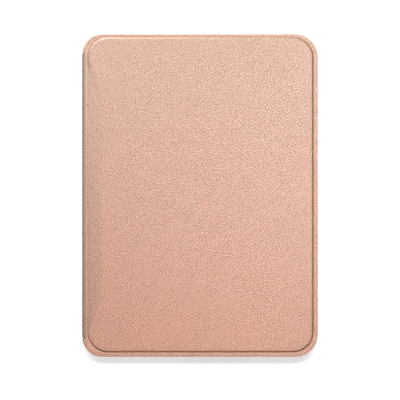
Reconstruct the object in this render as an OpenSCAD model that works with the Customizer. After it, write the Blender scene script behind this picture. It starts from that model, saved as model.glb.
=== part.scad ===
// A reading tablet with an e-paper screen, lying on its back in a closed folio case.
// +Z points out of the front cover, +Y to the top of the page, +X to the right of the page.
// The origin is on the surface it lies on, under the middle of the case. The spine is at -X.

/* [Case] */
// Width over the spine and the cover's right flange
case_w = 131; // [128:0.5:136]
// Height of the front cover
case_l = 179; // [178:0.5:184]
// Thickness of the leather
leather_t = 0.6; // [0.5:0.05:0.7]
// Thickness of the microfibre lining
lining_t = 0.25; // [0.2:0.05:0.3]
// Thickness of the stiff board in the cover, which is also the step from the flange to the raised panel
board_t = 0.95; // [0.8:0.05:1.1]
// Corner radius of the cover on the free side
free_r = 12.8; // [11.5:0.1:13.5]
// Corner radius of the cover on the spine side
spine_side_r = 11; // [10.5:0.1:12]
// Outer radius of the soft folds beside the spine
fold_r = 2.85; // [2.6:0.05:3]
// Length of the spine strip
spine_l = 158; // [150:0.5:158]
// Width of the pressed slope between the panel and the flange
slope_w = 1.1; // [0.6:0.1:1.4]
// Width of the panel's gentler slope beside the spine
hinge_slope_w = 7; // [4:0.5:9]

/* [Tray] */
// Thickness of the tray's wall
tray_wall = 1.15; // [1:0.05:1.3]
// Thickness of the tray's floor
tray_floor = 1; // [0.9:0.05:1.2]
// Gap between the tablet and the tray's wall
tray_gap = 0.2; // [0.1:0.05:0.3]
// Width of the notch for the socket and the button
notch_w = 39; // [37:0.5:44]

/* [Tablet] */
// Width of the tablet
tablet_w = 124.6; // [124:0.1:125]
// Height of the tablet
tablet_l = 174.2; // [173.6:0.1:174.6]
// Thickness of the tablet
tablet_t = 8.1; // [8:0.05:8.3]
// Corner radius of the tablet
tablet_r = 9.5; // [9:0.1:10]
// Wall of the rear housing
housing_wall = 1.5; // [1.4:0.05:1.6]
// Width of the lit page
page_w = 104.6; // [100:0.1:105]
// Height of the lit page
page_l = 139.5; // [135:0.1:140]

/* [Socket and button] */
// Width of the socket's metal shell
socket_w = 8.94; // [8.8:0.01:9]
// Height of the socket's metal shell
socket_h = 3.16; // [3.1:0.01:3.2]
// Length of the socket's shell
socket_l = 8; // [7.5:0.1:8.5]
// Length of the power button
button_w = 9; // [8:0.1:9.5]
// Height of the power button
button_h = 1.9; // [1.7:0.1:2]
// How far the power button travels
button_travel = 0.3; // [0.2:0.05:0.35]

/* [Hidden] */
$fn = 64;
hull_fn = 40;
cut = 1;          // how far a cutting shape runs past what it cuts
skin = 0.01;      // thickness of a layer that only guides a hull

// Edges of the case
case_left = -case_w / 2;
case_right = case_w / 2;
crease_gap = 0.15;
spine_back_x = case_left + 0.3;   // the corners sit a little inside the spine band
fold_x = case_left + fold_r;      // where the folds meet the flat sheets

// Heights, from the surface up
floor_z = leather_t;
tray_top_of_floor = floor_z + tray_floor;
tablet_z = tray_top_of_floor + lining_t;
front_z = tablet_z + tablet_t;
cover_z = front_z + 0.35;
flange_z = cover_z + lining_t;
panel_z = flange_z + leather_t;
top_z = panel_z + board_t;

// Tray and tablet share one middle
tray_w = tablet_w + 2 * (tray_gap + tray_wall);
tray_l = tablet_l + 2 * (tray_gap + tray_wall);
tablet_x = -0.35;
tray_r = tablet_r + tray_gap + tray_wall;
tray_edge = 1.5;
back_margin = 0.4;

// Raised panel of the cover, at the foot of its slope
panel_left = fold_x + crease_gap;
panel_right = case_right - 2.4;
panel_top = case_l / 2 - 1.35;
panel_bottom = -case_l / 2 + 2.1;
panel_r = 11.5;

// Tablet interior
housing_floor = 1.1;
inside_z = tablet_z + housing_floor;
inner_w = tablet_w - 2 * housing_wall;
inner_l = tablet_l - 2 * housing_wall;
inner_r = tablet_r - housing_wall;
bottom_y = -tablet_l / 2;
frame_gap = 0.15;
frame_z = inside_z + 3.3;
frame_t = 0.8;
frame_rim = 2.3;
foam_z = frame_z + frame_t;
foam_t = 0.2;
panel_base = foam_z + foam_t;
epaper_t = 1;
guide_z = panel_base + epaper_t;
guide_t = 0.5;
touch_z = guide_z + guide_t;
touch_t = 0.15;
bond_z = touch_z + touch_t;
bond_t = 0.14;
border_t = 0.06;
lens_z = bond_z + bond_t + border_t;
lens_t = front_z - 0.1 - lens_z;
lens_margin = 0.3;
page_y = 6.85;
display_w = page_w + 4.4;
display_l = page_l + 7.5;
display_y = page_y - 1.35;
display_bottom = display_y - display_l / 2;

// Board, battery and what stands on them
board_z = inside_z + 1.2;
board_thick = 0.9;
board_top = board_z + board_thick;
board_bottom_y = -80.5;
board_strip_top = -52;
board_left = -50;
board_right = 52;
arm_left = 22;
arm_top = 40;
board_holes = [[-46, -56], [8, -56], [48, -76], [48, 36]];
battery_size = [58, 88, 2.9];
battery_pos = [-15, 30];
frame_holes = [
    [-57, -81], [57, -81], [-57, -27], [57, -10], [-57, 27], [57, 60], [-54, 82], [0, 82], [54, 82]
];
screw_r = 0.6;
screw_hole_r = 0.65;
boss_r = 1.9;
magnet_rows = [-26, 26];
wake_pos = [50, 48];
chips = [
    [-37, -66, 12, 12, 0.75], [-26, -72, 9, 11, 0.7], [-27, -60, 5, 5, 0.6],
    [36, -30, 8, 8, 0.7], [35, -10, 6, 6, 0.65], [12, -70, 5, 5, 0.7], [-10, -72, 4, 4, 0.6]
];
shields = [[-31.5, -66, 25, 24], [35.5, -20, 20, 34]];

// Socket, button and light along the bottom edge
port_z = inside_z + 2.35;
button_x = 17.5;
light_x = 28;
light_r = 0.55;
notch_x = 11;
slot_gap = 0.1;
button_wall_y = bottom_y + housing_wall;

// Rounded rectangle about the middle
module rounded(w, l, r) {
    square([w - 2 * r, l], center = true);
    square([w, l - 2 * r], center = true);
    for (x = [-1, 1], y = [-1, 1])
        translate([x * (w / 2 - r), y * (l / 2 - r)]) circle(r);
}

// Flat plate with rounded corners, from height z
module plate(w, l, r, z, t) {
    translate([0, 0, z]) linear_extrude(t) rounded(w, l, r);
}

// Plate from its left, right, bottom and top edges, with one radius left and one right
module edge_plate(left, right, bottom, top, r_left, r_right, z, t, fn = 64) {
    translate([0, 0, z]) linear_extrude(t) {
        translate([left, bottom + r_left]) square([right - left - r_right, top - bottom - 2 * r_left]);
        translate([left + r_left, bottom]) square([right - left - r_left - r_right, top - bottom]);
        translate([right - r_right - 1, bottom + r_right]) square([r_right + 1, top - bottom - 2 * r_right]);
        for (y = [bottom + r_left, top - r_left]) translate([left + r_left, y]) circle(r_left, $fn = fn);
        for (y = [bottom + r_right, top - r_right]) translate([right - r_right, y]) circle(r_right, $fn = fn);
    }
}

// Block with upright rounded corners, whose lower and upper edges are rounded too
module soft_block(w, l, r, z, h, low_edge, high_edge) {
    steps = 4;
    hull() {
        for (i = [0:steps]) {
            a = 90 * i / steps;
            in_low = low_edge * (1 - sin(a));
            in_high = high_edge * (1 - sin(a));
            translate([0, 0, z + low_edge * (1 - cos(a))]) linear_extrude(skin)
                rounded(w - 2 * in_low, l - 2 * in_low, r - in_low, $fn = hull_fn);
            translate([0, 0, z + h - skin - high_edge * (1 - cos(a))]) linear_extrude(skin)
                rounded(w - 2 * in_high, l - 2 * in_high, r - in_high, $fn = hull_fn);
        }
    }
}

// Long slot with round ends, drawn on X and Z and pushed along +Y
module slot_y(w, h, y, depth) {
    translate([0, y + depth, 0]) rotate([90, 0, 0]) linear_extrude(depth) {
        square([w - h, h], center = true);
        for (x = [-1, 1]) translate([x * (w - h) / 2, 0]) circle(h / 2);
    }
}

// Quarter of a bent sheet, its centre on the Y axis, open towards +X and the side given by up
module quarter_fold(inner, outer, length, up) {
    rotate([90, 0, 0]) linear_extrude(length, center = true) intersection() {
        difference() {
            circle(outer);
            circle(inner);
        }
        translate([-outer - cut, up > 0 ? 0 : -outer - cut]) square(outer + cut);
    }
}

// Strip of the left side that the spine takes out of the cover's sheets
module spine_clearance(z, t, x) {
    translate([case_left - cut, -spine_l / 2 - crease_gap, z - cut])
        cube([x - case_left + cut, spine_l + 2 * crease_gap, t + 2 * cut]);
}

// ---- Case, fixed to the tray

module back_leather() {
    color("#c99a85")
        edge_plate(fold_x + crease_gap, tablet_x + tray_w / 2 + back_margin,
            -tray_l / 2 - back_margin, tray_l / 2 + back_margin, 8.5, tray_r + back_margin, 0, leather_t);
}

module lower_fold() {
    color("#c99a85") translate([fold_x, 0, fold_r])
        quarter_fold(fold_r - leather_t, fold_r, spine_l, -1);
}

module tray() {
    color("#b98c78") difference() {
        translate([tablet_x, 0, 0])
            soft_block(tray_w, tray_l, tray_r, floor_z, front_z - floor_z, tray_edge, 0.3);
        translate([tablet_x, 0, 0])
            plate(tray_w - 2 * tray_wall, tray_l - 2 * tray_wall, tablet_r + tray_gap, tray_top_of_floor, tablet_t + cut);
        translate([tablet_x + notch_x - notch_w / 2, -tray_l / 2 - cut, tablet_z])
            cube([notch_w, tray_wall + 2 * cut, tablet_t + cut]);
    }
}

module tray_lining() {
    color("#d8c2b6") translate([tablet_x, 0, 0])
        plate(tablet_w - 2, tablet_l - 2, tablet_r - 1, tray_top_of_floor, lining_t);
}

// ---- Spine

module spine_sheet(x, t, length) {
    low = fold_r + crease_gap;
    translate([case_left + x, -length / 2, low]) cube([t, length, panel_z - 2 * low]);
}

module spine_leather() {
    color("#c08f7b") spine_sheet(0, leather_t, spine_l);
}

module spine_board() {
    color("#6d665f") spine_sheet(leather_t, 0.35, spine_l - 3);
}

module spine_lining() {
    color("#d8c2b6") spine_sheet(leather_t + 0.35, lining_t, spine_l - 1);
}

module upper_fold() {
    color("#c99a85") translate([fold_x, 0, panel_z - fold_r])
        quarter_fold(fold_r - leather_t, fold_r, spine_l, 1);
}

// ---- Cover

module cover_leather() {
    board_margin = slope_w + 0.6;
    color("#d9ab97") difference() {
        union() {
            edge_plate(spine_back_x, case_right, -case_l / 2, case_l / 2, spine_side_r, free_r, flange_z, leather_t);
            hull() {
                for (s = [0, 1])
                    edge_plate(panel_left + s * hinge_slope_w, panel_right - s * slope_w,
                        panel_bottom + s * slope_w, panel_top - s * slope_w,
                        panel_r - s * slope_w, panel_r - s * slope_w,
                        s == 0 ? panel_z - skin : top_z - skin, skin, hull_fn);
            }
        }
        spine_clearance(flange_z, top_z - flange_z, panel_left);
        cover_core(board_margin, flange_z - cut, board_t + cut);
    }
}

// Outline of the stiff board, and of the pocket it fills
module cover_core(margin, z, t) {
    edge_plate(panel_left + margin + hinge_slope_w - slope_w, panel_right - margin,
        panel_bottom + margin, panel_top - margin, panel_r - margin, panel_r - margin, z, t);
}

module cover_board() {
    color("#6d665f") difference() {
        cover_core(slope_w + 0.7, flange_z, board_t);
        magnet_places(0.08, board_t);
    }
}

// The closing magnets and the wake magnet, and with some margin the pockets that they sit in
module magnet_places(margin, t) {
    for (y = magnet_rows)
        translate([tablet_x + 54 - margin, y - 6 - margin, flange_z]) cube([4 + 2 * margin, 12 + 2 * margin, t]);
    translate([tablet_x + wake_pos[0], wake_pos[1], flange_z]) cylinder(r = 3 + margin, h = t);
}

module cover_lining() {
    color("#d8c2b6") difference() {
        edge_plate(spine_back_x + 0.3, case_right - 0.3, -case_l / 2 + 0.3, case_l / 2 - 0.3,
            spine_side_r - 0.3, free_r - 0.3, cover_z, lining_t);
        spine_clearance(cover_z, lining_t, panel_left);
    }
}

module cover_magnets() {
    color("silver") magnet_places(0, board_t - 0.1);
}

// ---- Tablet shells

module rear_housing() {
    color("#26272a") translate([tablet_x, 0, 0]) {
        difference() {
            soft_block(tablet_w, tablet_l, tablet_r, tablet_z, tablet_t, 2.4, 0.6);
            plate(inner_w, inner_l, inner_r, inside_z, tablet_t);
            translate([0, 0, port_z])
                slot_y(socket_w + 2 * slot_gap, socket_h + 2 * slot_gap, bottom_y - cut, housing_wall + 2 * cut);
            translate([button_x, 0, port_z])
                slot_y(button_w + 2 * slot_gap, button_h + 2 * slot_gap, bottom_y - cut, housing_wall + 2 * cut);
            translate([light_x, bottom_y - cut, port_z]) rotate([-90, 0, 0])
                cylinder(r = light_r + 0.05, h = housing_wall + 2 * cut);
        }
        for (p = frame_holes) boss(p, frame_z, screw_hole_r, 1);
        for (p = board_holes) boss(p, board_z, 0.45, 0.2);
        for (x = [battery_pos[0] - battery_size[0] / 2 - 1.6, battery_pos[0] + battery_size[0] / 2 + 0.6])
            translate([x, -10, inside_z]) cube([1, 80, 1.4]);
    }
}

// Screw boss on the housing's floor, drilled down to the given height above the floor
module boss(place, top, hole_r, left) {
    translate([place[0], place[1], inside_z]) difference() {
        cylinder(r = boss_r, h = top - inside_z);
        translate([0, 0, left]) cylinder(r = hole_r, h = top - inside_z);
    }
}

module mid_frame() {
    rim_top = bond_z;
    color("#8f9296") translate([tablet_x, 0, 0]) difference() {
        plate(inner_w - 2 * frame_gap, inner_l - 2 * frame_gap, inner_r - frame_gap, frame_z, rim_top - frame_z);
        plate(inner_w - 2 * frame_gap - 2 * frame_rim, inner_l - 2 * frame_gap - 2 * frame_rim,
            inner_r - frame_rim, foam_z, rim_top);
        for (p = frame_holes) {
            translate([p[0], p[1], frame_z - cut]) cylinder(r = 0.75, h = frame_t + 2 * cut);
            translate([p[0], p[1], foam_z]) cylinder(r = 1.7, h = rim_top);
        }
        for (x = [-1, 1]) translate([x * 26 - 18, -38, frame_z - cut]) cube([36, 26, frame_t + 2 * cut]);
        for (x = [-1, 1]) translate([x * 26 - 18, 44, frame_z - cut]) cube([36, 26, frame_t + 2 * cut]);
        translate([-16, display_bottom - 4.2, frame_z - cut]) cube([32, 3, frame_t + 2 * cut]);
        translate([-6, -inner_l / 2 - cut, frame_z - cut]) cube([12, 8 + cut, frame_t + 2 * cut]);
        translate([button_x - 7, -inner_l / 2 - cut, frame_z - cut]) cube([14, 5.4 + cut, frame_t + 2 * cut]);
    }
}

module frame_screws() {
    color("#5b5d60") translate([tablet_x, 0, 0])
        for (p = frame_holes) translate([p[0], p[1], 0]) screw(screw_r, frame_z - 2, foam_z, 1.35, 0.5);
}

// Screw with a flat head and a cross recess, from the shaft's low end to the underside of the head
module screw(r, low, head_z, head_r, head_h) {
    translate([0, 0, low]) cylinder(r = r, h = head_z - low + skin);
    translate([0, 0, head_z]) difference() {
        cylinder(r = head_r, h = head_h);
        for (turn = [0, 90]) translate([0, 0, head_h]) rotate([0, 0, turn])
            cube([head_r, 0.25, head_h], center = true);
    }
}

// ---- Display stack

module cover_lens() {
    color("#1b1c1e") translate([tablet_x, 0, 0])
        plate(inner_w - 2 * lens_margin, inner_l - 2 * lens_margin, inner_r - lens_margin, lens_z, lens_t);
}

module lens_border() {
    color("black") translate([tablet_x, 0, 0]) difference() {
        plate(inner_w - 2 * lens_margin - 0.4, inner_l - 2 * lens_margin - 0.4, inner_r - 0.5,
            lens_z - border_t, border_t);
        translate([0, page_y, 0]) plate(page_w, page_l, 0.6, lens_z - border_t - cut, border_t + 2 * cut);
    }
}

module perimeter_gasket() {
    color("#101010") translate([tablet_x, 0, 0]) difference() {
        plate(inner_w - 2 * frame_gap - 0.4, inner_l - 2 * frame_gap - 0.4, inner_r - 0.35, bond_z, bond_t);
        plate(inner_w - 2 * frame_rim, inner_l - 2 * frame_rim, inner_r - frame_rim, bond_z - cut, bond_t + 2 * cut);
    }
}

module bonding_film() {
    color("#e8eef0") translate([tablet_x, 0, 0])
        plate(inner_w - 2 * frame_rim - 1, inner_l - 2 * frame_rim - 1, 4, bond_z, bond_t);
}

module touch_film() {
    color("#cfd8dc") translate([tablet_x, 1, 0]) plate(display_w + 3, display_l + 11, 2, touch_z, touch_t);
}

module light_guide() {
    color("#f1f6f4") translate([tablet_x, display_y + 1.5, 0]) plate(display_w, display_l - 3, 1, guide_z, guide_t);
}

module led_strip() {
    strip_y = display_bottom - 5;
    leds = 17;
    pitch = 6;
    color("#d6a24a") translate([tablet_x, 0, 0]) {
        translate([-(leds * pitch) / 2, strip_y, guide_z]) cube([leds * pitch, 5.2, 0.1]);
        for (i = [0:leds - 1])
            translate([(i - (leds - 1) / 2) * pitch - 1.5, strip_y + 4, guide_z + 0.1 - skin]) cube([3, 1.2, 0.35]);
    }
}

module display_panel() {
    color("#dedfd8") translate([tablet_x, display_y, 0]) plate(display_w, display_l, 1, panel_base, epaper_t);
}

module display_foam() {
    color("#3b3b3d") translate([tablet_x, display_y, 0]) difference() {
        plate(display_w - 3, display_l - 3, 2, foam_z, foam_t);
        plate(display_w - 15, display_l - 15, 2, foam_z - cut, foam_t + 2 * cut);
    }
}

// Ribbon from the panel's lower edge through the frame's slot to its connector
module display_flex() {
    t = 0.2;
    y0 = display_bottom;
    z0 = panel_base + 0.3;
    z1 = board_top + 0.9;
    color("#b5702a") translate([tablet_x + 15, 0, 0]) rotate([90, 0, -90]) linear_extrude(30)
        polygon([
            [-y0 + t / 2, z0], [-y0 + 3, z0], [-y0 + 3, z1], [-y0 - 8, z1],
            [-y0 - 8, z1 - t], [-y0 + 3 + t, z1 - t], [-y0 + 3 + t, z0 + t], [-y0 + t / 2, z0 + t]
        ]);
}

// ---- Electronics

module main_board() {
    color("#1f6b46") translate([tablet_x, 0, board_z]) difference() {
        linear_extrude(board_thick) {
            translate([board_left, board_bottom_y])
                square([board_right - board_left, board_strip_top - board_bottom_y]);
            translate([arm_left, board_strip_top - 1]) square([board_right - arm_left, arm_top - board_strip_top + 1]);
        }
        for (p = board_holes) translate([p[0], p[1], -cut]) cylinder(r = 0.7, h = board_thick + 2 * cut);
        translate([-socket_w / 2 - 0.2, board_bottom_y - cut, -cut])
            cube([socket_w + 0.4, socket_l + bottom_y + 0.3 - board_bottom_y + cut, board_thick + 2 * cut]);
        translate([button_x - 7, board_bottom_y - cut, -cut]) cube([14, 1 + cut, board_thick + 2 * cut]);
    }
}

module board_chips() {
    color("#222326") translate([tablet_x, 0, board_top])
        for (c = chips) translate([c[0] - c[2] / 2, c[1] - c[3] / 2, 0]) cube([c[2], c[3], c[4]]);
}

module board_shields() {
    wall = 0.15;
    color("#c9ccd0") translate([tablet_x, 0, board_top])
        for (s = shields) translate([s[0] - s[2] / 2, s[1] - s[3] / 2, 0]) difference() {
            cube([s[2], s[3], 1]);
            translate([wall, wall, -cut]) cube([s[2] - 2 * wall, s[3] - 2 * wall, 1 - wall + cut]);
            for (x = [0.25, 0.5, 0.75]) translate([s[2] * x, s[3] - 3, 0]) cylinder(r = 0.6, h = 2);
        }
}

module board_connectors() {
    color("#efe9dc") translate([tablet_x, 0, board_top]) {
        translate([-14, display_bottom + 4.5, 0]) cube([28, 3.2, 0.7]);
        translate([-9.5, board_strip_top - 4.5, 0]) cube([9, 3, 0.8]);
    }
}

module board_screws() {
    color("#5b5d60") translate([tablet_x, 0, 0])
        for (p = board_holes) translate([p[0], p[1], 0]) screw(0.4, board_z - 0.9, board_top, 1.1, 0.45);
}

module battery() {
    color("#3c4046") translate([tablet_x + battery_pos[0], battery_pos[1], 0])
        plate(battery_size[0], battery_size[1], 1.5, inside_z + 0.15, battery_size[2]);
}

module battery_tape() {
    color("#f2f2ee") translate([tablet_x + battery_pos[0], battery_pos[1], inside_z])
        for (x = [-1, 1]) translate([x * 16 - 5, -38, 0]) cube([10, 76, 0.15]);
}

// Flat lead from the battery's lower end, bent up onto its connector
module battery_lead() {
    t = 0.25;
    top = board_top + 0.8;
    y0 = -(battery_pos[1] - battery_size[1] / 2);
    y1 = -board_strip_top + 3.5;
    low = board_z + 0.2;
    color("#a8292b") translate([tablet_x - 1.5, 0, 0]) rotate([90, 0, -90]) linear_extrude(7)
        polygon([
            [y0, low], [-board_strip_top - 1.5, low], [-board_strip_top - 1.5, top], [y1, top],
            [y1, top + t], [-board_strip_top - 1.5 - t, top + t], [-board_strip_top - 1.5 - t, low + t], [y0, low + t]
        ]);
}

// ---- Socket, button and light

module usb_shell() {
    t = 0.3;
    color("#c6c9cc") translate([tablet_x, 0, port_z]) difference() {
        slot_y(socket_w, socket_h, bottom_y + 0.1, socket_l);
        slot_y(socket_w - 2 * t, socket_h - 2 * t, bottom_y + 0.1 - cut, socket_l - t + cut);
    }
}

module usb_tongue() {
    back_y = bottom_y + 0.1 + socket_l - 0.3;
    color("#1a1a1c") translate([tablet_x, 0, port_z]) {
        slot_y(socket_w - 0.6, socket_h - 0.6, back_y - 2.2, 2.2);
        translate([-3.35, back_y - 6.6, -0.35]) cube([6.7, 4.4 + skin, 0.7]);
    }
}

module port_seal() {
    rim = 1.4;
    color("#8a3b2e") translate([tablet_x, 0, port_z]) difference() {
        slot_y(socket_w + rim, socket_h + rim, button_wall_y, 0.8);
        slot_y(socket_w, socket_h, button_wall_y - cut, 0.8 + 2 * cut);
    }
}

module power_button() {
    face_y = bottom_y - 0.2;
    color("#2b2c2f") translate([tablet_x + button_x, 0, port_z]) {
        slot_y(button_w, button_h, face_y, button_wall_y + 0.1 - face_y);
        slot_y(button_w + 1.4, button_h + 0.8, button_wall_y + 0.05, 0.55);
        translate([-1, button_wall_y + 0.5, -0.6]) cube([2, 0.9, 1.2]);
    }
}

module button_switch() {
    y = button_wall_y + 1.4 + button_travel + 0.1;
    color("#b9bcc0") translate([tablet_x + button_x, y, port_z]) {
        translate([-2.2, 0.2, -1]) cube([4.4, 1.2, 2]);
        rotate([-90, 0, 0]) cylinder(r = 0.7, h = 0.2 + skin);
    }
}

// Upright plate behind the switch, on a foot that is fixed to the housing's floor
module button_bracket() {
    y = button_wall_y + 1.4 + button_travel + 1.5;
    color("#77797c") translate([tablet_x + button_x - 5, y, inside_z]) {
        cube([10, 0.5, 3.1]);
        cube([10, 1.6, 0.4]);
    }
}

module light_pipe() {
    color("#f4f7f8") translate([tablet_x + light_x, bottom_y + 0.05, port_z]) rotate([-90, 0, 0]) {
        cylinder(r = light_r, h = 4);
        translate([0, 0, 2]) cylinder(r = light_r + 0.3, h = 2);
    }
}

module wifi_antenna() {
    color("#c98f3a") translate([tablet_x, 0, inside_z]) difference() {
        translate([20, 73, 0]) cube([26, 7, 0.25]);
        for (i = [0:3]) translate([23 + i * 6, 75 + (i % 2) * 1.6, -cut]) cube([3.4, 1.6, 1 + cut]);
    }
}

module hall_sensor() {
    color("#222326") translate([tablet_x + wake_pos[0] - 1.5, wake_pos[1] - 1.5, inside_z]) cube([3, 3, 1.1]);
}

module frame_magnets() {
    color("silver") translate([tablet_x, 0, inside_z])
        for (y = magnet_rows) translate([54, y - 6, 0]) cube([4, 12, 2.6]);
}

back_leather();
lower_fold();
tray();
tray_lining();
spine_leather();
spine_board();
spine_lining();
upper_fold();
cover_leather();
cover_board();
cover_lining();
cover_magnets();
rear_housing();
mid_frame();
frame_screws();
cover_lens();
lens_border();
perimeter_gasket();
bonding_film();
touch_film();
light_guide();
led_strip();
display_panel();
display_foam();
display_flex();
main_board();
board_chips();
board_shields();
board_connectors();
board_screws();
battery();
battery_tape();
battery_lead();
usb_shell();
usb_tongue();
port_seal();
power_button();
button_switch();
button_bracket();
light_pipe();
wifi_antenna();
hall_sensor();
frame_magnets();
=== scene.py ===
"""A reading tablet in a closed folio case, lying on its back and seen from above.

Lengths in this script are millimetres until they reach a mesh, a light or the camera.
"""
import math

import bmesh
import bpy
import numpy as np
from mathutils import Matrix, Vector


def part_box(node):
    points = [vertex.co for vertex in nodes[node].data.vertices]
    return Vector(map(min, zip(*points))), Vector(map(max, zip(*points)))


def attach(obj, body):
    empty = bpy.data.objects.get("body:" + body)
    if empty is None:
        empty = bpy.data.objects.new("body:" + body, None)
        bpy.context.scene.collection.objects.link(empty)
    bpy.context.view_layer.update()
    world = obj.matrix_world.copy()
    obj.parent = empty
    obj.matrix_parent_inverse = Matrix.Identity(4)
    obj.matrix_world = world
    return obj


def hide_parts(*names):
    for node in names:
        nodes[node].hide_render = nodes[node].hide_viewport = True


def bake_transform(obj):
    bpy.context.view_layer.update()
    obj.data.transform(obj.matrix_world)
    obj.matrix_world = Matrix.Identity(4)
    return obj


MM = 0.001
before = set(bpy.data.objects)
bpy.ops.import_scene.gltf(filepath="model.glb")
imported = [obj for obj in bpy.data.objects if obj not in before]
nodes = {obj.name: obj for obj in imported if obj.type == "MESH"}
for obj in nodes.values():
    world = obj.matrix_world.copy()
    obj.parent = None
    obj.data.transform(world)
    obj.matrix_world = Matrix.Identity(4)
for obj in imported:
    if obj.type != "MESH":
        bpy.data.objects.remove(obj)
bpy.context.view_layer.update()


def box(name):
    """Lowest and highest corner of a CAD node, in mm."""
    low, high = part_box(name)
    return low / MM, high / MM


# ---------------------------------------------------------------- places, from the CAD
cover_lo, cover_hi = box("cover_leather")
upper_lo, upper_hi = box("upper_fold")
spine_lo, _ = box("spine_leather")
lining_lo, lining_hi = box("cover_lining")
back_lo, back_hi = box("back_leather")
tray_lo, tray_hi = box("tray")
glass_lo, glass_hi = box("cover_lens")
film_lo, _ = box("touch_film")
shell_lo, shell_hi = box("usb_shell")
button_lo, button_hi = box("power_button")

LEATHER, LINING = 0.6, 0.25  # thicknesses
CASE_LEFT = spine_lo.x
FOLD_X = upper_hi.x
FOLD_R = upper_hi.z - upper_lo.z
FOLD_TOP = upper_hi.z       # the fold meets the flange, which lies lower than the raised panel
TOP_Z = cover_hi.z          # the raised panel's face
FLANGE_Z = cover_lo.z       # the underside of the cover's leather
PANEL_Z = FLANGE_Z + LEATHER  # the flange's face, where the panel's slope begins
SPINE_Y = upper_hi.y        # half the spine's length
CREASE = FOLD_X + 0.15      # where the cover's sheets begin beside the spine
NOTCH_Y = SPINE_Y + 0.1     # where the corner lobes begin
R_SPINE, R_FREE = 11.0, 12.8  # the cover's corners on the spine's side and on the free side
PANEL_R = 11.5              # the raised panel's corners
R_BACK_LEFT, R_BACK_RIGHT = 8.5, 11.25  # the back's corners

# Raised panel, at the foot of its slope. Beside the spine its slope is wider and gentler.
PANEL = dict(left=CREASE, right=cover_hi.x - 2.4, bottom=cover_lo.y + 2.3, top=cover_hi.y - 1.6)
SLOPE_W, HINGE_SLOPE_W = 1.1, 7.0

# ---------------------------------------------------------------- rings of points
# Points along the lower and upper sides, along the left and right sides, and round each corner
N_X, N_Y, N_A = 30, 58, 16
HALF = N_A // 2
N_RING = 2 * (N_X + N_Y) + 4 * N_A


def share(a, b, n):
    """n even steps from a towards b, without b itself."""
    return [a + (b - a) * i / n for i in range(n)]


def arc(cx, cy, r, a0, a1, n):
    """n points on an arc from the angle a0 towards a1, in degrees."""
    angles = [math.radians(a) for a in share(a0, a1, n)]
    return [(cx + r * math.cos(a), cy + r * math.sin(a)) for a in angles]


def run(p, q, n):
    """n points on the line from p towards q, without q itself."""
    return list(zip(share(p[0], q[0], n), share(p[1], q[1], n)))


def rounded(left, right, bottom, top, r_left, r_right=None, x_stops=None):
    """Points round a rounded rectangle, anticlockwise from the middle of its lower left corner.

    x_stops places the points along the lower side.
    """
    a, b = r_left, r_left if r_right is None else r_right
    out = arc(left + a, bottom + a, a, 225, 270, HALF)
    if x_stops is None:
        out += run((left + a, bottom), (right - b, bottom), N_X)
    else:
        out += [(x, bottom) for x in [left + a] + x_stops]
    out += arc(right - b, bottom + b, b, 270, 360, N_A)
    out += run((right, bottom + b), (right, top - b), N_Y)
    out += arc(right - b, top - b, b, 0, 90, N_A)
    out += run((right - b, top), (left + a, top), N_X)
    out += arc(left + a, top - a, a, 90, 180, N_A)
    out += run((left, top - a), (left, bottom + a), N_Y)
    out += arc(left + a, bottom + a, a, 180, 225, HALF)
    return np.array(out)


def lift(flat, z):
    """Ring in 3-D from its points in X and Y, at one height or one for each point."""
    z = np.broadcast_to(np.asarray(z, float), (len(flat),))
    return np.column_stack([flat, z])


def coons(ring):
    """Inner points of a grid that fills a ring, as an (nx-1, ny-1, 3) array."""
    nx, ny = N_X + N_A, N_Y + N_A
    low, right = ring[: nx + 1], ring[nx: nx + ny + 1]
    high = ring[nx + ny: 2 * nx + ny + 1][::-1]
    left = np.vstack([ring[2 * nx + ny:], ring[:1]])[::-1]
    u = (np.arange(1, nx) / nx)[:, None, None]
    v = (np.arange(1, ny) / ny)[None, :, None]
    sides = ((1 - v) * low[1:-1, None] + v * high[1:-1, None]
             + (1 - u) * left[None, 1:-1] + u * right[None, 1:-1])
    corners = ((1 - u) * (1 - v) * low[0] + u * (1 - v) * low[-1]
               + (1 - u) * v * high[0] + u * v * high[-1])
    return sides - corners


def fill(verts, faces, start, ring, flip):
    """Caps the ring whose points begin at index start."""
    nx, ny = N_X + N_A, N_Y + N_A
    first = len(verts)
    verts.extend(coons(ring).reshape(-1, 3).tolist())

    def at(i, j):
        if j == 0:
            return start + i
        if i == nx:
            return start + nx + j
        if j == ny:
            return start + nx + ny + (nx - i)
        if i == 0:
            return start + (2 * nx + ny + (ny - j)) % N_RING
        return first + (i - 1) * (ny - 1) + (j - 1)

    for i in range(nx):
        for j in range(ny):
            quad = [at(i, j), at(i + 1, j), at(i + 1, j + 1), at(i, j + 1)]
            faces.append(quad[::-1] if flip else quad)


SHARP_ANGLE = math.radians(35)


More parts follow.
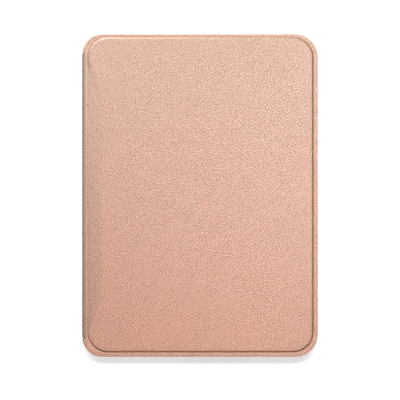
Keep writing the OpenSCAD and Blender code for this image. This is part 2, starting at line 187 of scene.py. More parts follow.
def add_mesh(name, verts, faces, body, slot_name, replaced=(), uv=None, blend=None):
    """Closed mesh from points in mm: merged, turned outwards, smooth with sharp edges by angle.

    uv gives the grain's coordinates at a point in metres. A piece with blend has no body of its own.
    """
    mesh = bpy.data.meshes.new(name)
    mesh.from_pydata([tuple(c * MM for c in v) for v in verts], [], faces)
    bm = bmesh.new()
    bm.from_mesh(mesh)
    bmesh.ops.remove_doubles(bm, verts=bm.verts, dist=2e-6)
    bmesh.ops.dissolve_degenerate(bm, edges=bm.edges, dist=1e-6)
    bmesh.ops.recalc_face_normals(bm, faces=bm.faces)
    if uv is not None:
        layer = bm.loops.layers.uv.new("hide")
        for face in bm.faces:
            for loop in face.loops:
                co = loop.vert.co
                loop[layer].uv = uv(co.x, co.y, co.z)
    bm.to_mesh(mesh)
    bm.free()
    mesh.set_sharp_from_angle(angle=SHARP_ANGLE)
    ob = bpy.data.objects.new(name, mesh)
    bpy.context.scene.collection.objects.link(ob)
    mesh.materials.append(finish(slot_name))
    if replaced:
        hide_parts(*replaced)
    if blend:
        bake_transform(ob)
    elif body:
        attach(ob, body)
    return ob


def skin(faces, rows, count):
    """Quads between rows of count points each, every row a closed ring."""
    for k in range(rows - 1):
        a, b = k * count, (k + 1) * count
        for i in range(count):
            j = (i + 1) % count
            faces.append([a + i, a + j, b + j, b + i])


def stack(rings):
    """Solid through rings of N_RING points each, capped at the first and the last one."""
    verts, faces = [], []
    for ring in rings:
        verts.extend(ring.tolist())
    skin(faces, len(rings), N_RING)
    fill(verts, faces, 0, rings[0], True)
    fill(verts, faces, (len(rings) - 1) * N_RING, rings[-1], False)
    return verts, faces


# ---------------------------------------------------------------- materials
class Nodes:
    """Short way to write a material's nodes."""

    def __init__(self, name):
        self.mat = bpy.data.materials.new(name)
        self.mat.use_nodes = True
        self.tree = self.mat.node_tree
        self.shader = self.tree.nodes["Principled BSDF"]

    def node(self, kind, values=None, **props):
        n = self.tree.nodes.new(kind)
        for key, value in props.items():
            setattr(n, key, value)
        for key, value in (values or {}).items():
            self.put(n.inputs[key], value)
        return n

    def put(self, socket, value):
        if isinstance(value, bpy.types.NodeSocket):
            self.tree.links.new(value, socket)
        else:
            socket.default_value = value

    def set(self, **values):
        for key, value in values.items():
            self.put(self.shader.inputs[key.replace("_", " ")], value)

    def math(self, operation, a, b=0.0):
        n = self.node("ShaderNodeMath", operation=operation)
        self.put(n.inputs[0], a)
        self.put(n.inputs[1], b)
        return n.outputs[0]

    def steps(self, value, low, high, to_low=0.0, to_high=1.0):
        """Smooth step from to_low to to_high while value goes from low to high."""
        n = self.node("ShaderNodeMapRange", interpolation_type="SMOOTHSTEP")
        inputs = {"Value": value, "From Min": low, "From Max": high, "To Min": to_low, "To Max": to_high}
        for key, v in inputs.items():
            self.put(n.inputs[key], v)
        return n.outputs["Result"]

    def mix(self, factor, a, b):
        n = self.node("ShaderNodeMix", data_type="RGBA")
        self.put(n.inputs[0], factor)
        self.put(n.inputs[6], a)
        self.put(n.inputs[7], b)
        return n.outputs[2]

    def noise(self, at, scale, detail=2.0, roughness=0.5, distortion=0.0):
        n = self.node("ShaderNodeTexNoise", {"Vector": at, "Scale": scale, "Detail": detail,
                                             "Roughness": roughness, "Distortion": distortion})
        return n.outputs["Fac"]

    def bump(self, height, distance):
        return self.node("ShaderNodeBump", {"Strength": 1.0, "Distance": distance, "Height": height}).outputs[0]

    def place(self):
        """Position on the object in metres, which moves with it."""
        return self.node("ShaderNodeTexCoord").outputs["Object"]


def rgb(r, g, b):
    return (r, g, b, 1.0)


# The leather's colour on the grain's peaks and in its valleys: partly its own tone, partly a painted highlight
# on the peaks and painted shade in the valleys
LEATHER_PEAK_TONE_AND_HIGHLIGHT, LEATHER_VALLEY_TONE_AND_SHADE = rgb(0.538, 0.357, 0.278), rgb(0.258, 0.110, 0.067)
# A faint random cloudiness of the leather, and the painted shade of the spine's rounded edge
LEATHER_CLOUD, SPINE_PAINTED_SHADE = rgb(0.40, 0.235, 0.17), rgb(0.10, 0.085, 0.08)
SPINE_SHADE_STRENGTH = 0.5            # how far the leather on the spine turns to its painted dark grey shade
PEBBLE_SCALE, PEBBLE_RANDOM, WORM_SCALE = 950.0, 0.42, 1750.0  # per metre
GRAIN_DEPTH = 0.00009       # metres
# The middle of the spine in the leather's flat coordinates, mm
SPINE_MIDDLE = FOLD_X - math.pi / 2 * FOLD_R - (FOLD_TOP - 2 * FOLD_R) / 2


def leather(name):
    """Pearly rose leather with a fine grain: small pebbles, half broken up by a finer, irregular relief; a
    painted highlight on the peaks, painted shade in the valleys and round the spine.
    """
    m = Nodes(name)
    at = m.node("ShaderNodeUVMap", uv_map="hide").outputs[0]
    turned = m.node("ShaderNodeVectorRotate", {"Vector": at, "Angle": 0.5}, rotation_type="Z_AXIS").outputs[0]
    cells = m.node("ShaderNodeTexVoronoi", feature="DISTANCE_TO_EDGE", values={
        "Vector": turned, "Scale": PEBBLE_SCALE, "Randomness": PEBBLE_RANDOM})
    pebble = m.steps(cells.outputs["Distance"], 0.02, 0.34)
    fine = m.noise(at, 3800.0, 2.0)
    patch = m.noise(at, 55.0, 3.0)
    worm = m.steps(m.noise(at, WORM_SCALE, 1.0), 0.36, 0.64)
    relief = m.math("ADD", m.math("MULTIPLY", pebble, 0.5), m.math("MULTIPLY", worm, 0.5))
    height = m.math("ADD", relief, m.math("MULTIPLY", fine, 0.12))
    # Painted highlight and shade: the colour follows the relief, whiter on the peaks and darker in the valleys,
    # over the leather's own tone
    colour = m.mix(relief, LEATHER_VALLEY_TONE_AND_SHADE, LEATHER_PEAK_TONE_AND_HIGHLIGHT)
    along = m.node("ShaderNodeSeparateXYZ")
    m.put(along.inputs[0], at)
    # Painted shade: the leather round the spine turns dark and grey, as its rounded edge looks in shade
    off_spine = m.math("ABSOLUTE", m.math("SUBTRACT", along.outputs["X"], SPINE_MIDDLE * MM))
    colour = m.mix(m.steps(off_spine, 0.0045, 0.0065, SPINE_SHADE_STRENGTH, 0.0), colour, SPINE_PAINTED_SHADE)
    m.set(Base_Color=m.mix(m.steps(patch, 0.3, 0.7, 0.0, 0.04), colour, LEATHER_CLOUD),
          Roughness=m.steps(pebble, 0.0, 1.0, 0.52, 0.40),
          Metallic=0.5,
          Normal=m.bump(height, GRAIN_DEPTH),
          Specular_IOR_Level=1.0)
    return m.mat


def microfibre(name):
    """Short brushed pile: soft blotches, fine fibres, a little sheen."""
    m = Nodes(name)
    at = m.place()
    fibre = m.noise(at, 2600.0, 3.0, 0.7, 0.6)
    nap = m.noise(at, 420.0, 3.0)
    tone = m.math("ADD", m.math("MULTIPLY", fibre, 0.7), m.math("MULTIPLY", nap, 0.3))
    m.set(Base_Color=m.mix(m.steps(tone, 0.32, 0.68), rgb(0.40, 0.275, 0.225), rgb(0.50, 0.355, 0.295)),
          Roughness=m.steps(fibre, 0.3, 0.7, 0.8, 0.95), Normal=m.bump(fibre, 0.00008),
          Sheen_Weight=0.35, Sheen_Roughness=0.4, Specular_IOR_Level=0.25)
    return m.mat


def moulded(name, dark, light, rough=(0.45, 0.55), grit=2200.0, depth=0.00002, metallic=0.0):
    """Moulded, cast or rolled surface: fine grit, faint cloudiness, roughness that varies a little."""
    m = Nodes(name)
    at = m.place()
    fine = m.noise(at, grit, 2.0, 0.6)
    cloud = m.noise(at, 70.0, 3.0, 0.5)
    tone = m.math("ADD", m.math("MULTIPLY", fine, 0.45), m.math("MULTIPLY", cloud, 0.55))
    m.set(Base_Color=m.mix(m.steps(tone, 0.32, 0.68), rgb(*dark), rgb(*light)),
          Roughness=m.steps(fine, 0.3, 0.7, *rough), Normal=m.bump(fine, depth), Metallic=metallic)
    return m.mat


def clear(name, tint, alpha, rough):
    """Clear layer: light passes through it, and a little stays on it as a veil."""
    m = Nodes(name)
    haze = m.noise(m.place(), 900.0, 2.0)
    m.set(Base_Color=rgb(*tint), Roughness=m.steps(haze, 0.3, 0.7, rough, rough + 0.04), Alpha=alpha)
    return m.mat


RECIPES = {
    "rose_leather": leather,
    "lining_microfibre": microfibre,
    "tray_plastic": lambda n: moulded(n, (0.50, 0.285, 0.21), (0.56, 0.33, 0.25), (0.42, 0.52),
                                      1500.0, 0.00003),
    "stiff_board": lambda n: moulded(n, (0.13, 0.115, 0.1), (0.2, 0.175, 0.15), (0.8, 0.95), 900.0, 0.00006),
    "housing_plastic": lambda n: moulded(n, (0.017, 0.017, 0.018), (0.027, 0.027, 0.029), (0.5, 0.62)),
    "frame_metal": lambda n: moulded(n, (0.5, 0.51, 0.53), (0.62, 0.63, 0.65), (0.3, 0.42), metallic=1.0),
    "screw_steel": lambda n: moulded(n, (0.35, 0.35, 0.36), (0.5, 0.5, 0.5), (0.25, 0.4), metallic=1.0),
    "magnet_nickel": lambda n: moulded(n, (0.66, 0.65, 0.63), (0.76, 0.75, 0.73), (0.15, 0.25), metallic=1.0),
    "lens_glass": lambda n: clear(n, (0.02, 0.02, 0.021), 0.05, 0.12),
    "border_black": lambda n: moulded(n, (0.008, 0.008, 0.009), (0.012, 0.012, 0.013), (0.4, 0.5)),
    "gasket_rubber": lambda n: moulded(n, (0.02, 0.02, 0.02), (0.035, 0.035, 0.035), (0.6, 0.75)),
    "clear_film": lambda n: clear(n, (0.9, 0.92, 0.92), 0.02, 0.1),
    "epaper": lambda n: moulded(n, (0.60, 0.60, 0.57), (0.65, 0.65, 0.62), (0.75, 0.85), 5200.0, 0.00001),
    "foam": lambda n: moulded(n, (0.03, 0.03, 0.03), (0.06, 0.06, 0.06), (0.85, 0.98), 700.0, 0.0001),
    "flex_film": lambda n: moulded(n, (0.38, 0.14, 0.02), (0.48, 0.2, 0.04), (0.2, 0.35)),
    "board_green": lambda n: moulded(n, (0.01, 0.075, 0.03), (0.02, 0.11, 0.05), (0.3, 0.42)),
    "chip_black": lambda n: moulded(n, (0.018, 0.018, 0.02), (0.03, 0.03, 0.033), (0.5, 0.65)),
    "shield_tin": lambda n: moulded(n, (0.55, 0.56, 0.57), (0.68, 0.69, 0.7), (0.3, 0.42), metallic=1.0),
    "connector_ivory": lambda n: moulded(n, (0.6, 0.56, 0.45), (0.68, 0.64, 0.53), (0.4, 0.55)),
    "battery_foil": lambda n: moulded(n, (0.1, 0.105, 0.115), (0.15, 0.155, 0.165), (0.35, 0.5), metallic=0.6),
    "tape_white": lambda n: moulded(n, (0.75, 0.75, 0.72), (0.82, 0.82, 0.8), (0.5, 0.65)),
    "lead_red": lambda n: moulded(n, (0.4, 0.02, 0.015), (0.5, 0.035, 0.025), (0.35, 0.5)),
    "seal_silicone": lambda n: moulded(n, (0.24, 0.045, 0.025), (0.3, 0.06, 0.035), (0.5, 0.65)),
    "light_clear": lambda n: moulded(n, (0.75, 0.77, 0.78), (0.85, 0.87, 0.88), (0.15, 0.25)),
}
made = {}


def finish(slot_name):
    """The one material for a slot of the record."""
    if slot_name not in made:
        made[slot_name] = RECIPES[slot_name](slot_name + "_look")
    return made[slot_name]


# ---------------------------------------------------------------- camera, floor and light
CAMERA_X, CAMERA_Y = 0.1, -2.53  # the object lies a little above the middle of the view, mm
VIEW_WIDTH = 221.9          # width of the view at the cover, mm
LENS, SENSOR = 100.0, 36.0

scene = bpy.context.scene
camera = bpy.data.objects.new("camera", bpy.data.cameras.new("camera"))
camera.data.lens, camera.data.sensor_width = LENS, SENSOR
camera.location = (CAMERA_X * MM, CAMERA_Y * MM, (PANEL_Z + VIEW_WIDTH * LENS / SENSOR) * MM)
camera.data.clip_start, camera.data.clip_end = 0.01, 10.0
scene.collection.objects.link(camera)
scene.camera = camera
scene.view_settings.view_transform = "Standard"
scene.view_settings.look = "None"

REACH = 4.0                 # how far the floor goes on each side, metres
FLOOR_GLOW, FLOOR_FAR_GLOW, WALL_GLOW = 0.655, 1.0, 0.9
WALL_HEIGHT = 0.9


def backdrop(name, corners, near, far):
    """White sheet that glows by near close to the object, and by far from half a metre on."""
    mesh = bpy.data.meshes.new(name)
    mesh.from_pydata(corners, [], [(0, 1, 2, 3)])
    ob = bpy.data.objects.new(name, mesh)
    scene.collection.objects.link(ob)
    white = Nodes(name + "_white")
    distance = white.node("ShaderNodeVectorMath", operation="LENGTH")
    white.put(distance.inputs[0], white.place())
    glow = white.steps(distance.outputs["Value"], 0.17, 0.5, near, far)
    white.set(Base_Color=rgb(0.8, 0.8, 0.8), Roughness=0.9, Specular_IOR_Level=0.0,
              Emission_Color=rgb(1.0, 1.0, 1.0), Emission_Strength=glow)
    mesh.materials.append(white.mat)
    return ob


def wall(name, start, end):
    """Upright backdrop along the floor's edge from start to end."""
    corners = [(*start, 0), (*end, 0), (*end, WALL_HEIGHT), (*start, WALL_HEIGHT)]
    return backdrop(name, corners, WALL_GLOW, WALL_GLOW)


floor = backdrop("floor", [(-REACH, -REACH, 0), (REACH, -REACH, 0), (REACH, REACH, 0), (-REACH, REACH, 0)],
                 FLOOR_GLOW, FLOOR_FAR_GLOW)
floor.location.z = -0.00002
wall("far_wall", (-REACH, REACH), (REACH, REACH))
wall("left_wall", (-REACH, -REACH), (-REACH, REACH))

world = bpy.data.worlds.new("studio")
world.use_nodes = True
scene.world = world
sky = world.node_tree.nodes["Background"].inputs
sky["Color"].default_value, sky["Strength"].default_value = rgb(1.0, 1.0, 1.0), 0.02


LIGHT_DISTANCE = 0.75       # metres


def softbox(name, state, azimuth, elevation, power, colour, width=0.30, height=0.30):
    """Area light aimed at the object. Azimuth is anticlockwise from +X; width and height are in metres.

    State INCLUDE lights the floor alone, EXCLUDE lights everything else.
    """
    data = bpy.data.lights.new(name, "AREA")
    data.shape = "RECTANGLE"
    data.size, data.size_y, data.energy, data.color = width, height, power, colour
    ob = bpy.data.objects.new(name, data)
    a, e = math.radians(azimuth), math.radians(elevation)
    away = Vector((math.cos(a) * math.cos(e), math.sin(a) * math.cos(e), math.sin(e)))
    ob.location = away * LIGHT_DISTANCE
    ob.rotation_mode = "QUATERNION"
    ob.rotation_quaternion = away.to_track_quat("Z", "Y")
    ob.visible_camera = False
    scene.collection.objects.link(ob)
    group = bpy.data.collections.new(name + "_group")
    group.objects.link(floor)
    group.collection_objects[0].light_linking.link_state = state
    ob.light_linking.receiver_collection = group


# Cool light from beyond the top edge and the corners, and a warm fill from the near side, shape the case.
# The key stands a little to the left, so that it isn't mirrored by the cover when seen from the near side.
# The floor has a light of its own, so that its shadow stays short and grey.
softbox("key", "EXCLUDE", 106, 13, 5.7, (0.82, 0.97, 1.0), width=0.14)
softbox("left_key", "EXCLUDE", 135, 45, 4.4, (0.82, 0.96, 1.0))
softbox("right_key", "EXCLUDE", 30, 60, 2.95, (0.80, 0.98, 1.0))
softbox("right_top", "EXCLUDE", 0, 76, 1.95, (0.94, 1.0, 0.99))
softbox("warm_fill", "EXCLUDE", 270, 70, 1.55, (1.0, 0.38, 0.22))
softbox("floor_light", "INCLUDE", 90, 68, 5.0, (1.0, 1.0, 1.0), width=0.45, height=0.16)

# ---------------------------------------------------------------- cover
Y_TOP_ARC, Y_LOW_ARC = PANEL["top"] - PANEL_R, PANEL["bottom"] + PANEL_R  # where the panel's left corners begin
# The points' heights on the page down the left side, from one corner lobe into the other
side_y = [NOTCH_Y + s for s in (0.30, 0.20, 0.12, 0.06)]
side_y += [NOTCH_Y - 0.02, NOTCH_Y - 0.8, NOTCH_Y - 1.7]
side_y += share(Y_TOP_ARC, Y_LOW_ARC, N_Y - 14)
side_y += [Y_LOW_ARC, -NOTCH_Y + 1.9, -NOTCH_Y + 0.9, -NOTCH_Y + 0.02]
side_y += [-(NOTCH_Y + s) for s in (0.06, 0.12, 0.20, 0.30)]
LEFT_AT = HALF + N_X + N_A + N_Y + N_A + N_X + HALF  # index of the middle of the upper left corner
LOBE = 4                    # points at each end of the left side that belong to a corner lobe
# The gentle slope begins this far inside the corner arcs, and takes this length to reach its width
SHARE_START, SHARE_LENGTH = 3.5, 26.0


def panel_x(y, cx, r):
    """Where the panel's left outline is at y, for corners of radius r about cx."""
    past = max(y - Y_TOP_ARC, Y_LOW_ARC - y, 0.0)
    return cx - math.sqrt(max(r * r - past ** 2, 0.0))


def hinge_share(flat):
    """How far each point follows the gentle slope: 1 along the side by the spine, 0 from its corners on."""
    room = np.minimum(Y_TOP_ARC - flat[:, 1], flat[:, 1] - Y_LOW_ARC) + SHARE_START
    w = np.clip(room / SHARE_LENGTH, 0.0, 1.0)
    return np.where(flat[:, 0] < PANEL["left"] + PANEL_R * 0.9, w * w * (3 - 2 * w), 0.0)


def panel_ring(inset, wide=True):
    """Outline of the raised panel, with its left corners cut where the corner lobes end.

    wide follows the gentle slope beside the spine.
    """
    r = PANEL_R - inset
    cx = PANEL["left"] + PANEL_R
    out = rounded(cx - r, PANEL["right"] - inset, PANEL["bottom"] + inset, PANEL["top"] - inset, r)
    high = math.degrees(math.asin((side_y[0] - Y_TOP_ARC) / r))
    low = math.degrees(math.asin((Y_LOW_ARC - side_y[-1]) / r))
    left = arc(cx, Y_TOP_ARC, r, 135, 180 - high, HALF)
    left += [(panel_x(y, cx, r), y) for y in side_y[:-1]]
    left += arc(cx, Y_LOW_ARC, r, 180 + low, 225, HALF)
    out[LEFT_AT:] = left
    if wide:
        extra = (HINGE_SLOPE_W - SLOPE_W) * min(max(inset / SLOPE_W, 0.0), 1.0)
        out[:, 0] += hinge_share(out) * extra
    return out


def flange_ring(inset, side_inset, low, high):
    """Outline of the cover, from the corners of its box. It steps in to the spine between its two lobes.

    It is inset by inset, and by side_inset beside the spine.
    """
    r = R_SPINE - inset
    out = rounded(low.x + inset, high.x - inset, low.y + inset, high.y - inset, r, R_FREE - inset)
    cx, cy = low.x + R_SPINE, high.y - R_SPINE
    edge = NOTCH_Y + min(inset, 0.04)
    turn = math.degrees(math.asin((edge - cy) / r))
    left = arc(cx, cy, r, 135, 180 - turn, HALF)
    x_end = CREASE + min(inset, 0.04)
    x_arc = cx - r * math.cos(math.radians(turn))
    lobe = [(x_arc + (x_end - x_arc) * s, edge) for s in (0.0, 1 / 3, 2 / 3, 1.0)]
    left += lobe
    left += [(CREASE + side_inset, y) for y in side_y[LOBE:-LOBE]]
    left += [(x, -y) for x, y in lobe[::-1]][:-1]
    left += arc(cx, -cy, r, 180 + turn, 225, HALF)
    out[LEFT_AT:] = left
    return out


side_points = np.zeros(N_RING, bool)  # the points between the two lobes
side_points[LEFT_AT + HALF + LOBE: LEFT_AT + HALF + len(side_y) - LOBE] = True


def cover_z(z, z_side):
    """Heights for a ring of the cover: z_side beside the spine, z elsewhere."""
    return np.where(side_points, z_side, z)


def side_shift(flat, x):
    """Puts a ring's side beside the spine at x from the crease."""
    flat = flat.copy()
    flat[side_points, 0] = CREASE + x
    return flat


def unrolled(x, y, z):
    """Grain coordinates in metres: flat over the cover and the back, and round the folds and the spine."""
    fold_x, r, top = FOLD_X * MM, FOLD_R * MM, FOLD_TOP * MM
    quarter, straight = math.pi / 2 * r, top - 2 * r
    if x >= fold_x - 1e-6:
        return (x, y) if z > top / 2 else (2 * fold_x - 2 * quarter - straight - x, y)
    if z > top - r:
        return fold_x - r * math.atan2(fold_x - x, z - (top - r)), y
    if z < r:
        return fold_x - quarter - straight - r * math.atan2(r - z, fold_x - x), y
    return fold_x - quarter - (top - r - z), y


def cover_outline(inset, side_inset):
    return flange_ring(inset, side_inset, cover_lo, cover_hi)


WRAP_Z = FOLD_TOP - LEATHER - LINING  # how far the lining wraps up the cover's edge beside the spine
POCKET_GAP = 0.6            # between the board's pocket and the inside of the slopes
pocket = rounded(CREASE + HINGE_SLOPE_W + POCKET_GAP, PANEL["right"] - SLOPE_W - POCKET_GAP,
                 PANEL["bottom"] + SLOPE_W + POCKET_GAP, PANEL["top"] - SLOPE_W - POCKET_GAP,
                 PANEL_R - SLOPE_W - POCKET_GAP)
rim, foot = cover_outline(0.22, 0.01), panel_ring(-0.22)
cover_rings = [lift(pocket, TOP_Z - LEATHER), lift(pocket, FLANGE_Z)]
# The flange's edge: inset, inset beside the spine, height, height beside the spine
for inset, side_inset, z, z_side in ((0.3, 0.3, FLANGE_Z, FLANGE_Z),
                                     (0.08, 0.05, FLANGE_Z + 0.04, FLANGE_Z + 0.04),
                                     (0.0, 0.0, FLANGE_Z + 0.18, FLANGE_Z + 0.18),
                                     (0.0, 0.0, PANEL_Z - 0.2, PANEL_Z - 0.2),
                                     (0.07, 0.0, PANEL_Z - 0.05, PANEL_Z - 0.13)):
    cover_rings.append(lift(cover_outline(inset, side_inset), cover_z(z, z_side)))
cover_rings += [
    lift(rim, cover_z(PANEL_Z, PANEL_Z - 0.1)),
    lift(side_shift(rim + (foot - rim) * 0.25, 0.02), cover_z(PANEL_Z, PANEL_Z - 0.09)),
    lift(side_shift(rim + (foot - rim) * 0.85, 0.03), cover_z(PANEL_Z - 0.01, PANEL_Z - 0.085)),
]
# Inset from the panel's outline, height above the flange, and that height beside the spine:
# a pressed groove, the slope, the panel's soft edge
for inset, rise, rise_hinge in ((-0.22, -0.03, -0.03), (-0.1, -0.1, -0.05), (0.04, -0.11, 0.02),
                                (0.12, -0.05, 0.12), (0.24, 0.08, 0.26), (0.4, 0.3, 0.38),
                                (0.7, 0.66, 0.60), (0.85, 0.82, 0.72),
                                (1.05, 0.92, 0.86), (1.4, 0.95, 0.93), (3.0, 0.95, 0.95)):
    ring = panel_ring(inset)
    w = hinge_share(ring)
    if inset < 0.0:
        ring = side_shift(ring, 0.04)
    cover_rings.append(lift(ring, PANEL_Z + rise * (1 - w) + rise_hinge * w))
add_mesh("cover_shell", *stack(cover_rings), "cover", "rose_leather", ["cover_leather"], lambda x, y, z: (x, y))


def lining_ring(inset, z):
    """Inner ring of the lining, its side beside the spine as far in as the rest."""
    return lift(side_shift(panel_ring(inset, False), inset), z)


lining_rings = [lining_ring(inset, lining_lo.z + z)
                for inset, z in ((2.6, 0.02), (2.2, 0.06), (1.8, 0.06), (1.4, 0.0))]
for inset, side_inset, z, z_side in ((0.45, 0.15, lining_lo.z, lining_lo.z),
                                     (0.32, 0.03, lining_lo.z + 0.06, lining_lo.z + 0.1),
                                     (0.3, 0.0, lining_lo.z + 0.12, lining_lo.z + 0.3),
                                     (0.3, 0.0, lining_lo.z + 0.18, WRAP_Z),
                                     (0.32, 0.25, lining_hi.z - 0.01, WRAP_Z),
                                     (0.36, 0.25, lining_hi.z, lining_hi.z)):
    lining_rings.append(lift(cover_outline(inset, side_inset), cover_z(z, z_side)))
lining_rings.append(lining_ring(1.4, lining_hi.z))
add_mesh("cover_lining_sheet", *stack(lining_rings), "cover", "lining_microfibre", ["cover_lining"])


# ---------------------------------------------------------------- folds and spine
def strip(name, outer, inner, half_y, slot_name, replaced, blend, uv=None):
    """Sheet that follows a path in X and Z and runs along Y, from its two faces, point for point."""
    section = outer + inner[::-1]
    middle = (np.array(outer) + np.array(inner)) / 2
    middle = np.vstack([middle, middle[::-1]])
    # places along Y, and the sheet's share of its full thickness there
    stations = [(-half_y, 0.85), (-half_y + 0.05, 0.95), (-half_y + 0.14, 1.0)]
    stations += [(y, 1.0) for y in np.linspace(-half_y + 1.5, half_y - 1.5, 53)]
    stations += [(-y, s) for y, s in stations[2::-1]]
    count = len(section)
    verts, faces = [], []
    for y, scale in stations:
        ring = middle + (np.array(section) - middle) * scale
        verts.extend((x, y, z) for x, z in ring)
    skin(faces, len(stations), count)
    # the two ends, closed from the outer face to the inner one
    last = (len(stations) - 1) * count
    for i in range(len(outer) - 1):
        faces.append([i, i + 1, count - 2 - i, count - 1 - i])
        faces.append([last + i, last + i + 1, last + count - 2 - i, last + count - 1 - i][::-1])
    return add_mesh(name, verts, faces, None, slot_name, replaced, uv, blend=blend)


CROWN = 0.3                 # how far the spine bulges
FOLD_Z = FOLD_TOP - FOLD_R  # the upper fold's centre
FOLD_STEPS = 12
HINGE_X, HINGE_LOW_Z, HINGE_UP_DEPTH = -65.1, 0.4, 0.4  # the creases' lines, the upper one from the fold's top


def fold_path(r, flat_x, lowest, ends, up=True):
    """From ends, a quarter turn of radius r about the upper fold's centre, then down to the height lowest.

    The path is turned over for the lower fold.
    """
    path = list(ends)
    for i in range(1, FOLD_STEPS + 1):
        a = math.radians(90 + 90 * i / FOLD_STEPS)
        path.append((FOLD_X + r * math.cos(a), FOLD_Z + r * math.sin(a)))
    path[-1] = (flat_x, FOLD_Z)
    for z in np.linspace(FOLD_Z - 0.05, lowest, 9):
        path.append((flat_x, z))
    path = [(x - CROWN * math.sin(math.pi * z / FOLD_TOP) * min((FOLD_X - x) / r, 1.0) if x < FOLD_X else x, z)
            for x, z in path]
    return path if up else [(x, FOLD_TOP - z) for x, z in path]


SPLIT_Z = spine_lo.z        # where the two leather strips overlap down to, each from its own fold
R_IN = FOLD_R - LEATHER
# Each strip's two bodies, the spine and its neighbour, and the two points across its fold between them, in
# metres
blend_up = ("spine", "cover", (HINGE_X * MM, 0, FOLD_Z * MM),
            (FOLD_X * MM, 0, (FOLD_TOP - HINGE_UP_DEPTH) * MM))
blend_low = ("spine", "base", (HINGE_X * MM, 0, FOLD_R * MM), (FOLD_X * MM, 0, HINGE_LOW_Z * MM))
strip("fold_front",
      fold_path(FOLD_R, CASE_LEFT, SPLIT_Z, [(CREASE - 0.01, FOLD_TOP - 0.1), (FOLD_X - 0.1, FOLD_TOP - 0.02)]),
      fold_path(R_IN, CASE_LEFT + LEATHER, SPLIT_Z, [(CREASE - 0.01, FLANGE_Z), (FOLD_X - 0.1, FLANGE_Z)]),
      SPINE_Y, "rose_leather", ["upper_fold", "spine_leather"], blend_up, unrolled)
low_ends = [(CREASE - 0.02, FOLD_TOP - 0.1), (FOLD_X - 0.15, FOLD_TOP)]
strip("fold_back",
      fold_path(FOLD_R, CASE_LEFT, FOLD_TOP - SPLIT_Z, low_ends, False),
      fold_path(R_IN, CASE_LEFT + LEATHER, FOLD_TOP - SPLIT_Z, [(x, FLANGE_Z) for x, _ in low_ends], False),
      SPINE_Y, "rose_leather", ["lower_fold", "spine_leather"], blend_low, unrolled)


# ---------------------------------------------------------------- back sheet
def back_ring(inset, z):
    return lift(rounded(back_lo.x + inset, back_hi.x - inset, back_lo.y + inset, back_hi.y - inset,
                        R_BACK_LEFT - inset, R_BACK_RIGHT - inset), z)


back_profile = [(3.0, 0.0), (0.6, 0.0), (0.18, 0.03), (0.03, 0.12), (0.0, 0.25), (0.0, 0.42), (0.06, 0.55),
                (0.2, 0.6), (3.0, 0.6)]
back_rings = [back_ring(inset, z) for inset, z in back_profile]
add_mesh("back_shell", *stack(back_rings), "base", "rose_leather", ["back_leather"], unrolled)


# ---------------------------------------------------------------- lining of the spine
def ribbon(points, thickness):
    """Two faces, left and right of a path, this far apart."""
    p = np.array(points)
    along = np.gradient(p, axis=0)
    along /= np.linalg.norm(along, axis=1)[:, None]
    normal = np.column_stack([-along[:, 1], along[:, 0]]) * thickness / 2
    return [tuple(q) for q in p - normal], [tuple(q) for q in p + normal]


r_lining = R_IN - LINING / 2
path = [(CREASE - 0.02, FOLD_Z + r_lining), (FOLD_X, FOLD_Z + r_lining)]
path += [(FOLD_X + r_lining * math.cos(math.radians(a)), FOLD_Z + r_lining * math.sin(math.radians(a)))
         for a in np.linspace(98, 172, 10)]
path += [(CASE_LEFT + x, FOLD_Z - down) for x, down in ((0.76, 0.15), (0.9, 0.45), (1.02, 0.8), (1.07, 1.2))]
path += [(CASE_LEFT + 1.075, z) for z in np.linspace(FOLD_Z - 1.7, SPLIT_Z, 8)]
strip("spine_lining_sheet", *ribbon(path, LINING), SPINE_Y - 0.5, "lining_microfibre",
      ["spine_lining"], blend_up)


# ---------------------------------------------------------------- tray
TRAY_R, TRAY_WALL, TRAY_FLOOR = 10.85, 1.15, 1.0
# The notch runs from 21.5 left of the button's cap, past the socket, to 8.5 right of it, past the light.
# The button's box reaches 0.7 past its cap on both sides, with the flange.
NOTCH_LEFT, NOTCH_RIGHT = button_lo.x + 0.7 - 21.5, button_hi.x - 0.7 + 8.5
NOTCH_FLOOR = tray_lo.z + TRAY_FLOOR + LINING
NOTCH_ROUND = 0.9           # radius of the notch's rounded corners, about


def notch_height(x):
    """Height of the tray's lower wall at x: full, except in the notch for the socket and the button."""
    inside = min(x - NOTCH_LEFT, NOTCH_RIGHT - x)
    if inside >= 0.005:
        return NOTCH_FLOOR + max(0.0, NOTCH_ROUND - inside) ** 2 * 0.5
    if inside > -NOTCH_ROUND:
        return tray_hi.z - (NOTCH_ROUND + min(inside, 0.0)) ** 2 * 0.75
    return tray_hi.z


def tray_ring(inset, z):
    """Ring of the tray at height z, lower where the notch is. Its points crowd together at the notch's ends."""
    left, right, r = tray_lo.x + inset, tray_hi.x - inset, TRAY_R - inset
    a, b = NOTCH_LEFT, NOTCH_RIGHT
    stops = share(left + r, a - NOTCH_ROUND, 7)[1:]
    stops += [a + d for d in (-NOTCH_ROUND, -0.45, -0.15, 0.0, 0.01, 0.15, 0.5)]
    stops += share(a + NOTCH_ROUND, b - NOTCH_ROUND, 6)
    stops += [b + d for d in (-NOTCH_ROUND, -0.5, -0.15, -0.01, 0.0, 0.15, 0.45)]
    stops += share(b + NOTCH_ROUND, right - r, 4)[:3]
    flat = rounded(left, right, tray_lo.y + inset, tray_hi.y - inset, r, x_stops=stops)
    heights = np.full(N_RING, float(z))
    for i in range(HALF, HALF + N_X):
        heights[i] = min(z, notch_height(flat[i, 0]))
    return lift(flat, heights)


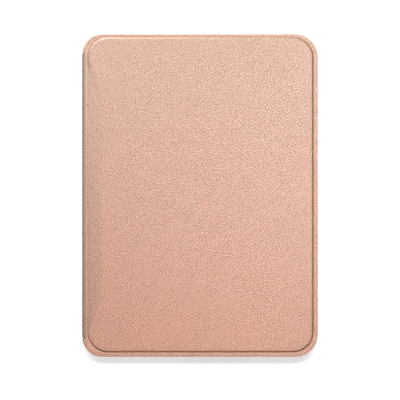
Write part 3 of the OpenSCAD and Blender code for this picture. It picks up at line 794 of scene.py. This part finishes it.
# Inset from the tray's box and height: up the outside, over the rim, down the inside
tray_profile = [(4.0, 0.0), (1.5, 0.0), (1.1, 0.04), (0.72, 0.2), (0.44, 0.44), (0.2, 0.75), (0.05, 1.12),
                (0.0, 1.5)]
rim_profile = [(0.0, 0.35), (0.06, 0.12), (0.2, 0.02), (0.4, 0.0), (0.8, 0.0), (1.02, 0.04), (1.12, 0.16),
               (TRAY_WALL, 0.4)]
floor_profile = [(TRAY_WALL, 0.35), (1.25, 0.1), (1.5, 0.0), (4.0, 0.0)]
tray_rings = [tray_ring(inset, tray_lo.z + z) for inset, z in tray_profile]
tray_rings += [tray_ring(inset, tray_hi.z - depth) for inset, depth in rim_profile]
tray_rings += [tray_ring(inset, tray_lo.z + TRAY_FLOOR + z) for inset, z in floor_profile]
add_mesh("tray_body", *stack(tray_rings), "base", "tray_plastic", ["tray"])


# ---------------------------------------------------------------- front glass
GLASS_R, WINDOW_R = 7.7, 0.6
WINDOW_HALF_X, WINDOW_HALF_Y, WINDOW_Y = 52.3, 69.75, 6.85  # the opening in the black border


def glass_ring(inset, z):
    return lift(rounded(glass_lo.x + inset, glass_hi.x - inset, glass_lo.y + inset, glass_hi.y - inset,
                        GLASS_R - inset), z)


def window_ring(inset, z):
    """Outline of the opening in the black border, where films fill the gap under the glass."""
    cx, cy = (glass_lo.x + glass_hi.x) / 2, WINDOW_Y
    x, y = WINDOW_HALF_X - inset, WINDOW_HALF_Y - inset
    return lift(rounded(cx - x, cx + x, cy - y, cy + y, WINDOW_R), z)


glass_rings = [window_ring(3.0, film_lo.z), window_ring(0.15, film_lo.z), window_ring(0.15, glass_lo.z)]
for inset, rise in ((3.0, 0.0), (0.15, 0.0), (0.03, 0.05), (0.0, 0.15)):
    glass_rings.append(glass_ring(inset, glass_lo.z + rise))
for inset, depth in ((0.0, 0.35), (0.05, 0.2), (0.15, 0.09), (0.35, 0.015), (0.6, 0.0), (3.0, 0.0)):
    glass_rings.append(glass_ring(inset, glass_hi.z - depth))
add_mesh("front_glass", *stack(glass_rings), "base", "lens_glass", ["cover_lens", "bonding_film", "touch_film"])


# ---------------------------------------------------------------- socket and button
def stadium(width, height, y, cx, cz, count=40):
    """Ring of points in X and Z round a slot with round ends."""
    r, reach = height / 2, (width - height) / 2
    ring = []
    for i in range(count):
        a = 2 * math.pi * (i + 0.5) / count
        side = reach if math.cos(a) > 0 else -reach
        ring.append((cx + side + r * math.cos(a), y, cz + r * math.sin(a)))
    return ring


def slot_solid(name, sections, centre, body, slot_name, replaced):
    """Closed solid through slot-shaped rings, each a width, a height and a place along Y."""
    rings = [stadium(w, h, y, *centre) for w, h, y in sections]
    count = len(rings[0])
    verts = [v for ring in rings for v in ring]
    faces = []
    skin(faces, len(rings), count)
    for k in (0, len(rings) - 1):
        # rows of quads across the slot, from its lower edge to its upper one
        for i in range(count // 2 - 1):
            a = count // 4 - 1 - i
            faces.append([k * count + (a + s) % count for s in (0, 1)]
                         + [k * count + (count // 2 - 1 - a - s) % count for s in (1, 0)])
    return add_mesh(name, verts, faces, body, slot_name, replaced)


def middle_xz(low, high):
    return (low.x + high.x) / 2, (low.z + high.z) / 2


# The button's width and height, and how deep they lie behind its outer end: its cap, then the flange that
# holds it in, then the stem that presses the switch
button_sections = [
    (8.2, 1.1, 0.02), (8.5, 1.4, 0.0), (8.8, 1.7, 0.06), (8.95, 1.85, 0.16), (9.0, 1.9, 0.3), (9.0, 1.9, 1.75),
    (10.3, 2.6, 1.76), (10.4, 2.7, 1.85), (10.4, 2.7, 2.2), (10.3, 2.6, 2.3),
    (2.1, 1.2, 2.31), (2.0, 1.15, 2.4), (2.0, 1.15, button_hi.y - button_lo.y)]
slot_solid("power_button_cap", [(w, h, button_lo.y + y) for w, h, y in button_sections],
           middle_xz(button_lo, button_hi), "power_button", "housing_plastic", ["power_button"])
# The socket's shell, from its inner end out to its mouth, and back inside
shell_w, shell_h = shell_hi.x - shell_lo.x, shell_hi.z - shell_lo.z
mouth_y, inner_y = shell_lo.y, shell_hi.y
shell_sections = [(0.3, inner_y), (0.06, inner_y - 0.05), (0.0, inner_y - 0.2), (0.0, mouth_y + 0.12),
                  (0.06, mouth_y + 0.03), (0.24, mouth_y), (0.46, mouth_y + 0.04), (0.6, mouth_y + 0.22),
                  (0.6, inner_y - 0.3)]
slot_solid("usb_socket_shell", [(shell_w - less, shell_h - less, y) for less, y in shell_sections],
           middle_xz(shell_lo, shell_hi), "base", "shield_tin", ["usb_shell"])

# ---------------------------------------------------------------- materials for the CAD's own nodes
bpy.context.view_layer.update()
for ob in nodes.values():
    for s in ob.material_slots:
        if s.material is not None:
            s.material = finish(s.material.name.split(".")[0])
